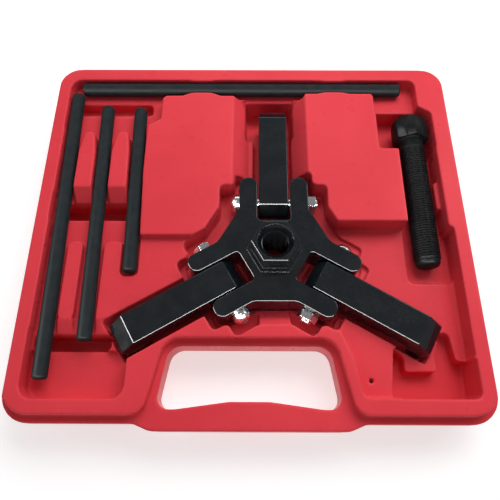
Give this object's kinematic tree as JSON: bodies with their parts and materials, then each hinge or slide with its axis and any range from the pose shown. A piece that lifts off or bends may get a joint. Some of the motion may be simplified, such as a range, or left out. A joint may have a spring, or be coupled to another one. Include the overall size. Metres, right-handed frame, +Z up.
{
  "type": "gear puller",
  "caption": "Three-jaw harmonic balancer puller lying with its forcing screw and push rods in the moulded base of its carrying case.",
  "frame": {"origin": "middle of the tray's outline, on its flat underside", "axes": "+Z up out of the tray, -Y towards the carrying handle, +X to the right with the handle in front"},
  "size_m": [0.332, 0.296, 0.061],
  "materials": {
    "red_plastic": "satin moulded surface, glossier on the rounded edges",
    "black_coated_steel": "glossy black coating with bare, bright edges",
    "black_oxide_steel": "satin black oxide, slightly oily",
    "dark_rod_steel": "matte grey-black oxide",
    "zinc_steel": "bright zinc plating"
  },
  "bodies": {
    "tray": {"case_tray": "red_plastic"},
    "puller": {"yoke": "black_coated_steel", "pin_bolt_1": "zinc_steel", "pin_washer_1": "zinc_steel", "pin_nut_1": "zinc_steel", "pin_bolt_2": "zinc_steel", "pin_washer_2": "zinc_steel", "pin_nut_2": "zinc_steel", "pin_bolt_3": "zinc_steel", "pin_washer_3": "zinc_steel", "pin_nut_3": "zinc_steel"},
    "jaw_1": {"jaw_1": "black_coated_steel"},
    "jaw_2": {"jaw_2": "black_coated_steel"},
    "jaw_3": {"jaw_3": "black_coated_steel"},
    "screw": {"forcing_screw": "black_oxide_steel"},
    "rod_1": {"push_rod_1": "dark_rod_steel"},
    "rod_2": {"push_rod_2": "dark_rod_steel"},
    "rod_3": {"push_rod_3": "dark_rod_steel"},
    "rod_4": {"push_rod_4": "dark_rod_steel"}
  },
  "joints": [
    {"name": "puller_lift", "type": "slide", "parent": "tray", "child": "puller", "axis": [0, 0, 1], "range_m": [0, 0.1]},
    {"name": "jaw_1_swing", "type": "hinge", "parent": "puller", "child": "jaw_1", "pos_m": [0.0177, 0.0191, 0.0325], "axis": [1, 0, 0], "range_deg": [0, 100]},
    {"name": "jaw_2_swing", "type": "hinge", "parent": "puller", "child": "jaw_2", "pos_m": [-0.01997, -0.04615, 0.0325], "axis": [-0.5, 0.866, 0], "range_deg": [0, 100]},
    {"name": "jaw_3_swing", "type": "hinge", "parent": "puller", "child": "jaw_3", "pos_m": [0.05537, -0.04615, 0.0325], "axis": [-0.5, -0.866, 0], "range_deg": [0, 100]},
    {"name": "screw_lift", "type": "slide", "parent": "tray", "child": "screw", "axis": [0, 0, 1], "range_m": [0, 0.1]},
    {"name": "rod_1_lift", "type": "slide", "parent": "tray", "child": "rod_1", "axis": [0, 0, 1], "range_m": [0, 0.1]},
    {"name": "rod_2_lift", "type": "slide", "parent": "tray", "child": "rod_2", "axis": [0, 0, 1], "range_m": [0, 0.1]},
    {"name": "rod_3_lift", "type": "slide", "parent": "tray", "child": "rod_3", "axis": [0, 0, 1], "range_m": [0, 0.1]},
    {"name": "rod_4_lift", "type": "slide", "parent": "tray", "child": "rod_4", "axis": [0, 0, 1], "range_m": [0, 0.1]}
  ]
}
